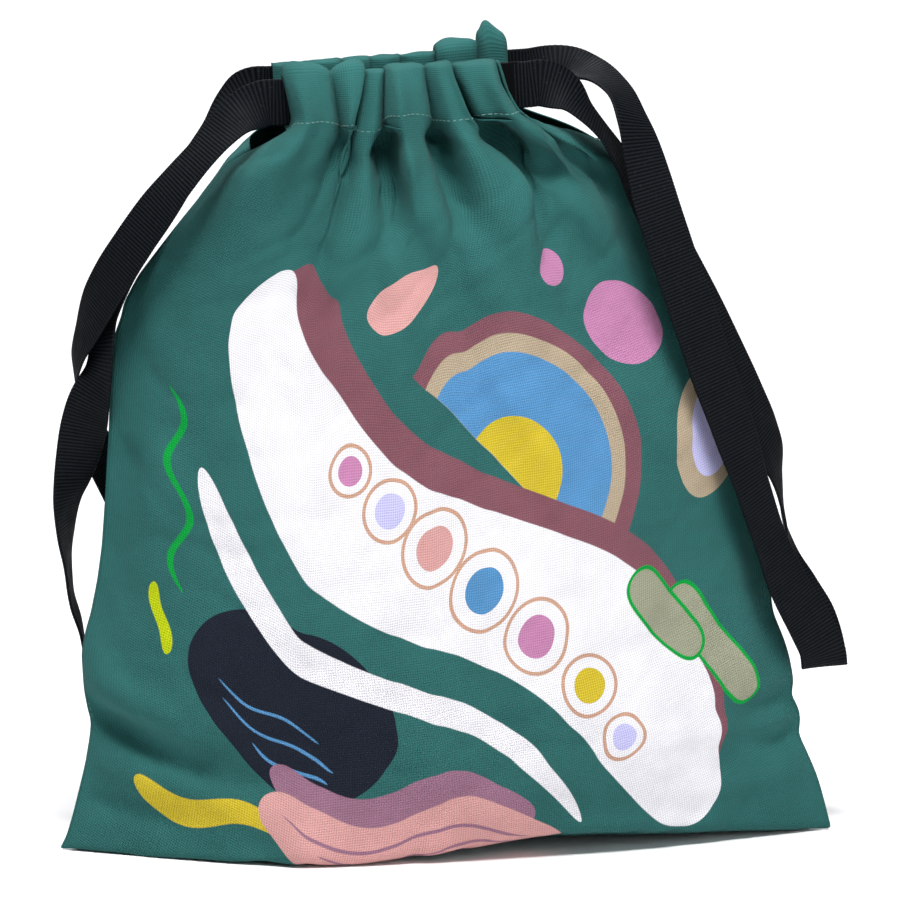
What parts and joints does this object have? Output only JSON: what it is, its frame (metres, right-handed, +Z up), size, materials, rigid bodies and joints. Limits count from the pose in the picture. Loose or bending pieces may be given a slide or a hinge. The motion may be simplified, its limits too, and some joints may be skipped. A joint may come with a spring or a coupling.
{
  "type": "drawstring bag",
  "caption": "Soft printed drawstring bag, stuffed and standing, with a gathered neck between two cloth casings and a loop of flat webbing hanging from each side.",
  "frame": {"origin": "centre of the box round the cloth bag, at the floor it stands on", "axes": "+X to the right as seen from the printed front, +Y to the back, +Z up"},
  "size_m": [0.3413, 0.12, 0.3445],
  "materials": {
    "cloth": "plain woven printed cloth, matt",
    "webbing": "ribbed black webbing, slight sheen",
    "thread": "pale mint sewing thread"
  },
  "bodies": {
    "bag": {"front_panel": "cloth", "back_panel": "cloth", "front_casing_thread": "thread", "back_casing_thread": "thread", "left_seam_thread": "thread", "right_seam_thread": "thread", "bottom_seam_thread": "thread", "left_slit_tack": "thread", "right_slit_tack": "thread"},
    "left_strands": {"left_front_strand": "webbing", "left_back_strand": "webbing"},
    "left_loop": {"left_loop": "webbing"},
    "right_strands": {"right_front_strand": "webbing", "right_back_strand": "webbing"},
    "right_loop": {"right_loop": "webbing"}
  },
  "joints": [
    {"name": "left_pull", "type": "slide", "parent": "bag", "child": "left_strands", "axis": [-0.9986, 0, -0.0523], "range_m": [0, 0.015]},
    {"name": "left_swing", "type": "hinge", "parent": "left_strands", "child": "left_loop", "pos_m": [-0.08042, 0, 0.32289], "axis": [0, 1, 0], "range_deg": [0, 85]},
    {"name": "right_pull", "type": "slide", "parent": "bag", "child": "right_strands", "axis": [0.9986, 0, 0.0523], "range_m": [0, 0.015]},
    {"name": "right_swing", "type": "hinge", "parent": "right_strands", "child": "right_loop", "pos_m": [0.03842, 0, 0.32911], "axis": [0, -1, 0], "range_deg": [0, 85]}
  ]
}
